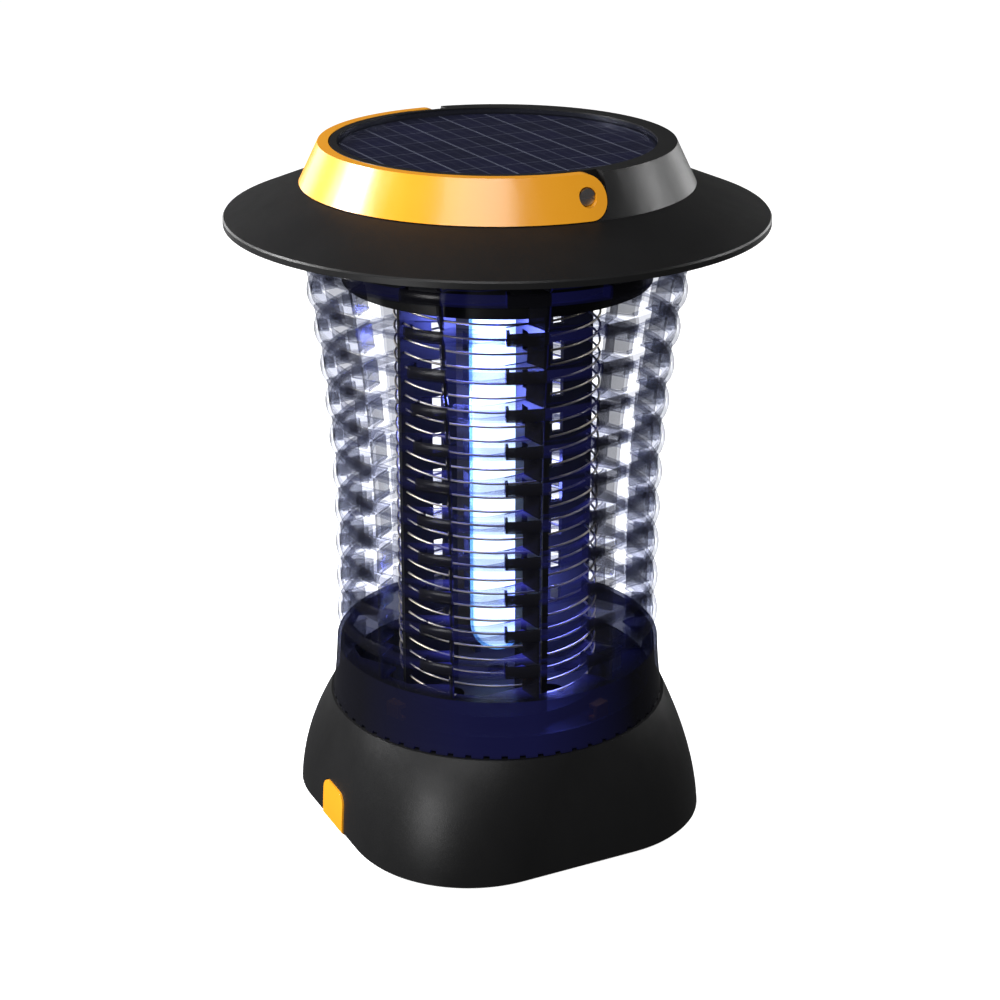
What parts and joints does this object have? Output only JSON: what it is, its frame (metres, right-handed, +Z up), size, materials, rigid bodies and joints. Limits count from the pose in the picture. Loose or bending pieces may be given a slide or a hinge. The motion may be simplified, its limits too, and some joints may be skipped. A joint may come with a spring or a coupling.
{
  "type": "electric bug zapper",
  "caption": "Solar lantern insect killer: square base with a push button, smoky louvred guard round a UV lamp and wire grid, hat brim, solar top and folding handle.",
  "frame": {"origin": "middle of the underside, on the surface that the rubber feet stand on", "axes": "+Z up through the lamp; -Y is the face with the push button and the side over which the handle is folded; the handle's pivots lie along X"},
  "size_m": [0.26, 0.26, 0.3462],
  "materials": {
    "black_plastic": "satin black moulding",
    "smoke_plastic": "clear smoke-grey polycarbonate",
    "amber_plastic": "gloss amber moulding",
    "screw_steel": "zinc-plated screws",
    "grid_wire": "drawn steel wire",
    "rubber": "matte",
    "battery_case": "moulded case",
    "contact_metal": "plated",
    "circuit_board": "solder mask",
    "board_parts": "moulded parts",
    "pillar_plastic": "white moulding",
    "lamp_glass": "phosphor-coated tube",
    "solar_cell": "dark blue cells",
    "cover_glass": "clear resin"
  },
  "bodies": {
    "base": {"base_shell": "black_plastic", "bottom_cover": "black_plastic", "battery_door": "black_plastic", "battery_door_screw": "screw_steel", "cover_screws": "screw_steel", "rubber_feet": "rubber", "battery_pack": "battery_case", "battery_terminals": "contact_metal", "control_board": "circuit_board", "control_board_parts": "board_parts", "control_board_screws": "screw_steel", "switch_body": "black_plastic", "contact_pins": "contact_metal", "insect_tray": "black_plastic", "tray_clips": "amber_plastic"},
    "button": {"power_button": "amber_plastic", "switch_plunger": "pillar_plastic"},
    "guard": {"head_drum": "black_plastic", "brim": "black_plastic", "top_bezel": "black_plastic", "grid_foot": "black_plastic", "wire_post_1": "black_plastic", "wire_post_2": "black_plastic", "wire_post_3": "black_plastic", "wire_post_4": "black_plastic", "guard_skirt": "smoke_plastic", "louvre_struts": "smoke_plastic", "guard_collar": "smoke_plastic", "louvre_ring_01": "smoke_plastic", "louvre_ring_02": "smoke_plastic", "louvre_ring_03": "smoke_plastic", "louvre_ring_04": "smoke_plastic", "louvre_ring_05": "smoke_plastic", "louvre_ring_06": "smoke_plastic", "louvre_ring_07": "smoke_plastic", "louvre_ring_08": "smoke_plastic", "louvre_ring_09": "smoke_plastic", "louvre_ring_10": "smoke_plastic", "louvre_ring_11": "smoke_plastic", "collar_screws": "screw_steel", "head_screws": "screw_steel", "inverter_screws": "screw_steel", "handle_pivots": "screw_steel", "grid_wires_live": "grid_wire", "grid_wires_ground": "grid_wire", "contact_plate": "contact_metal", "lamp_pins": "contact_metal", "inverter_board": "circuit_board", "charge_board": "circuit_board", "solar_board": "circuit_board", "inverter_parts": "board_parts", "inverter_posts": "pillar_plastic", "charge_board_posts": "pillar_plastic", "lamp_socket": "pillar_plastic", "lamp_cap": "pillar_plastic", "lamp_tube": "lamp_glass", "solar_cells": "solar_cell", "solar_cover": "cover_glass"},
    "handle": {"handle": "amber_plastic"}
  },
  "joints": [
    {"name": "button_press", "type": "slide", "parent": "base", "child": "button", "axis": [0, 1, 0], "range_m": [0, 0.002], "stiffness_N_per_m": 500, "springref_m": -0.001},
    {"name": "guard_twist", "type": "hinge", "parent": "base", "child": "guard", "pos_m": [0, 0, 0.062], "axis": [0, 0, 1], "range_deg": [0, 20]},
    {"name": "handle_swing", "type": "hinge", "parent": "guard", "child": "handle", "pos_m": [0, 0, 0.33675], "axis": [-1, 0, 0], "range_deg": [0, 90]}
  ]
}
